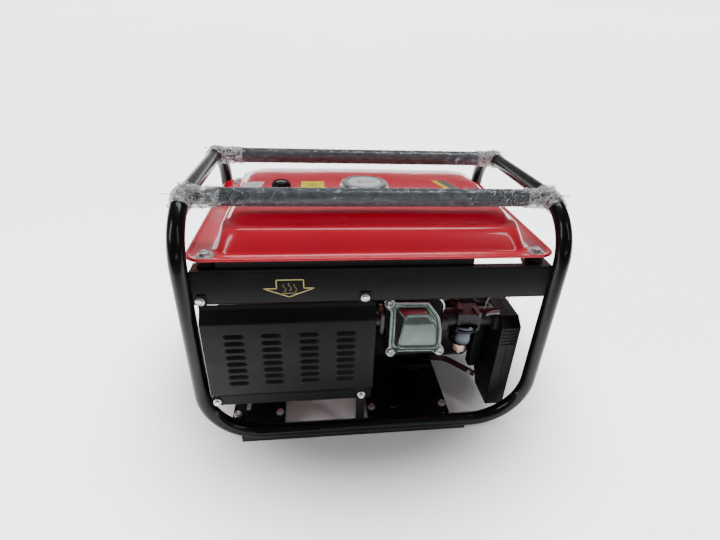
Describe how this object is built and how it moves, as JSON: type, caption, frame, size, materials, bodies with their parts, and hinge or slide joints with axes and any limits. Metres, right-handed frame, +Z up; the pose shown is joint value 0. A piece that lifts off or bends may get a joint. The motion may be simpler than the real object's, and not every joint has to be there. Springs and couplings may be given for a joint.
{
  "type": "portable generator",
  "caption": "Open-frame portable petrol generator: black tube frame, red tank on top, louvred muffler cover, inclined engine, recoil starter and alternator.",
  "frame": {"origin": "on the ground, in the middle of the overall box", "axes": "+X along the crankshaft towards the recoil starter, -Y the muffler side, +Y the control side, +Z up"},
  "size_m": [0.6, 0.448, 0.4425],
  "materials": {
    "frame_paint": "gloss black enamel",
    "panel_paint": "satin black enamel",
    "tank_paint": "gloss red enamel",
    "zinc": "zinc plated",
    "cap_metal": "satin plated",
    "mesh_foam": "black foam net",
    "stretch_film": "clear crumpled film",
    "rubber": "matt",
    "muffler_steel": "aluminised",
    "black_plastic": "satin",
    "needle_paint": "painted",
    "float_plastic": "moulded",
    "tap_alloy": "cast",
    "cast_aluminium": "cast, grey paint",
    "cover_aluminium": "die cast",
    "plug_ceramic": "glazed",
    "carb_alloy": "die cast",
    "bowl_steel": "plated",
    "solenoid_brass": "satin",
    "filter_foam": "open foam",
    "bracket_paint": "dark red oxide",
    "steel": "machined",
    "cast_iron": "as cast",
    "lamination": "varnished",
    "copper": "enamelled wire",
    "outlet_plastic": "moulded",
    "breaker_plastic": "moulded",
    "switch_plastic": "moulded"
  },
  "bodies": {
    "frame": {"air_cleaner_case": "black_plastic", "air_cleaner_cover": "black_plastic", "air_filter_element": "filter_foam", "alternator_end_bracket": "cast_aluminium", "alternator_end_cover": "panel_paint", "alternator_front_bracket": "cast_aluminium", "bar_sleeves": "mesh_foam", "blower_housing": "panel_paint", "carb_bowl": "bowl_steel", "carburettor_body": "carb_alloy", "cleaner_bracket": "bracket_paint", "control_box": "black_plastic", "crankcase": "cast_aluminium", "cross_members": "panel_paint", "cylinder_barrel": "cast_aluminium", "cylinder_head": "cast_aluminium", "exhaust_pipe": "muffler_steel", "film_wraps": "stretch_film", "frame_front_tube": "frame_paint", "frame_left_arch": "frame_paint", "frame_rear_tube": "frame_paint", "frame_right_arch": "frame_paint", "frame_screws": "zinc", "front_panel": "panel_paint", "fuel_hose": "rubber", "fuel_solenoid": "solenoid_brass", "fuel_tap": "tap_alloy", "gauge_housing": "black_plastic", "handle_bars": "frame_paint", "muffler": "muffler_steel", "muffler_cover": "panel_paint", "plug_boot": "rubber", "rear_panel": "panel_paint", "recoil_cover": "panel_paint", "rubber_feet": "rubber", "rubber_mounts": "rubber", "shaft_bearings": "steel", "socket_outlets": "outlet_plastic", "spark_plug": "plug_ceramic", "stator_core": "lamination", "stator_windings": "copper", "tank_lower_shell": "tank_paint", "tank_upper_shell": "tank_paint", "valve_cover": "cover_aluminium", "valve_cover_bolts": "zinc"},
    "crank_train": {"crankshaft": "steel", "flywheel": "cast_iron", "rotor": "steel"},
    "cap_seal": {"cap_gasket": "rubber"},
    "fuel_cap": {"fuel_cap": "cap_metal"},
    "float": {"gauge_float": "float_plastic"},
    "gauge_needle": {"gauge_needle": "needle_paint"},
    "tap_lever": {"fuel_tap_lever": "black_plastic"},
    "choke_lever": {"choke_lever": "zinc"},
    "throttle_lever": {"throttle_lever": "zinc"},
    "recoil_pulley": {"recoil_pulley": "black_plastic"},
    "recoil_grip": {"recoil_grip": "black_plastic"},
    "engine_switch": {"engine_switch": "switch_plastic"},
    "breaker_button": {"breaker_button": "breaker_plastic"},
    "oil_dipstick": {"oil_dipstick": "black_plastic"}
  },
  "joints": [
    {"name": "crank_spin", "type": "hinge", "parent": "frame", "child": "crank_train", "pos_m": [0, 0, 0.13], "axis": [1, 0, 0], "continuous": true},
    {"name": "recoil_spin", "type": "hinge", "parent": "frame", "child": "recoil_pulley", "pos_m": [0.2255, 0, 0.13], "axis": [-1, 0, 0], "range_deg": [0, 859]},
    {"name": "grip_pull", "type": "slide", "parent": "frame", "child": "recoil_grip", "axis": [0, 0.9404, 0.3401], "range_m": [0, 0.6]},
    {"name": "cap_lift", "type": "slide", "parent": "frame", "child": "cap_seal", "axis": [0, 0, 1], "range_m": [0, 0.08]},
    {"name": "cap_turn", "type": "hinge", "parent": "cap_seal", "child": "fuel_cap", "pos_m": [-0.005, -0.006, 0.41], "axis": [0, 0, 1], "range_deg": [0, 90]},
    {"name": "float_swing", "type": "hinge", "parent": "frame", "child": "float", "pos_m": [-0.153, -0.01, 0.37], "axis": [0, -1, 0], "range_deg": [0, 45]},
    {"name": "needle_turn", "type": "hinge", "parent": "frame", "child": "gauge_needle", "pos_m": [-0.153, -0.01, 0.405], "axis": [0, 0, 1], "range_deg": [0, 90]},
    {"name": "tap_turn", "type": "hinge", "parent": "frame", "child": "tap_lever", "pos_m": [0.134, -0.06, 0.288], "axis": [0, 1, 0], "range_deg": [0, 90]},
    {"name": "choke_turn", "type": "hinge", "parent": "frame", "child": "choke_lever", "pos_m": [0.19, -0.14, 0.2235], "axis": [0, 0, 1], "range_deg": [-60, 0]},
    {"name": "throttle_turn", "type": "hinge", "parent": "frame", "child": "throttle_lever", "pos_m": [0.162, -0.14, 0.2235], "axis": [0, 0, 1], "range_deg": [0, 60], "stiffness_Nm_per_rad": 0.002},
    {"name": "switch_rock", "type": "hinge", "parent": "frame", "child": "engine_switch", "pos_m": [0, 0.213, 0.236], "axis": [1, 0, 0], "range_deg": [0, 20]},
    {"name": "breaker_trip", "type": "slide", "parent": "frame", "child": "breaker_button", "axis": [0, 1, 0], "range_m": [0, 0.004]},
    {"name": "dipstick_pull", "type": "slide", "parent": "frame", "child": "oil_dipstick", "axis": [0, 0.866, 0.5], "range_m": [0, 0.09]}
  ],
  "couplings": [
    {"joint": "grip_pull", "follows": "recoil_spin", "m_per_rad": 0.04},
    {"joint": "needle_turn", "follows": "float_swing", "ratio": 2}
  ]
}
